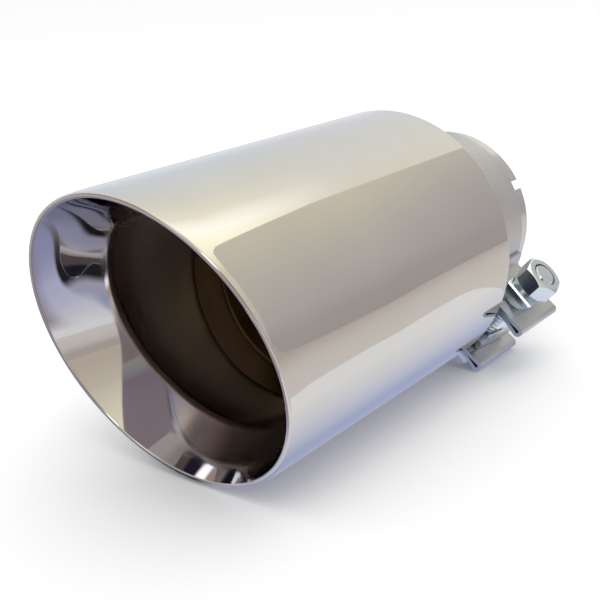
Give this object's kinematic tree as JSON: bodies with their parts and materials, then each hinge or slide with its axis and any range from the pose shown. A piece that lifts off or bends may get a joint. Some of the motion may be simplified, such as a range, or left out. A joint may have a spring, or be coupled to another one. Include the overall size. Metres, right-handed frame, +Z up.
{
  "type": "exhaust tip",
  "caption": "Round dual-wall exhaust tip with a slash-cut beveled mouth, an inner sleeve, a slotted inlet pipe and a band clamp with looped ears.",
  "frame": {"origin": "centre of the inlet pipe's open end, on the pipe axis", "axes": "the pipe axis lies along Y, +Y points out of the inlet and the mouth opens towards -Y; +Z is up, on the long side of the slash cut"},
  "size_m": [0.1095, 0.1893, 0.1025],
  "materials": {
    "polished_shell": "mirror-polished stainless steel",
    "polished_bevel": "mirror-polished stainless steel",
    "sleeve_steel": "stainless steel with circular brushing",
    "pipe_steel": "bright stainless tube",
    "cap_steel": "plain stainless sheet",
    "weld_metal": "brushed weld bead",
    "band_steel": "matte stainless strip",
    "zinc_bar": "bright zinc plate",
    "zinc_bolt": "bright zinc plate",
    "zinc_nut": "bright zinc plate"
  },
  "bodies": {
    "root": {"outer_shell": "polished_shell", "mouth_bevel": "polished_bevel", "inner_sleeve": "sleeve_steel", "inlet_pipe": "pipe_steel", "rear_cap": "cap_steel", "shell_weld": "weld_metal", "pipe_weld": "weld_metal", "clamp_band": "band_steel", "nut_saddle": "zinc_bar", "spacer_block": "zinc_bar", "clamp_bolt": "zinc_bolt", "clamp_nut": "zinc_nut"}
  },
  "joints": []
}
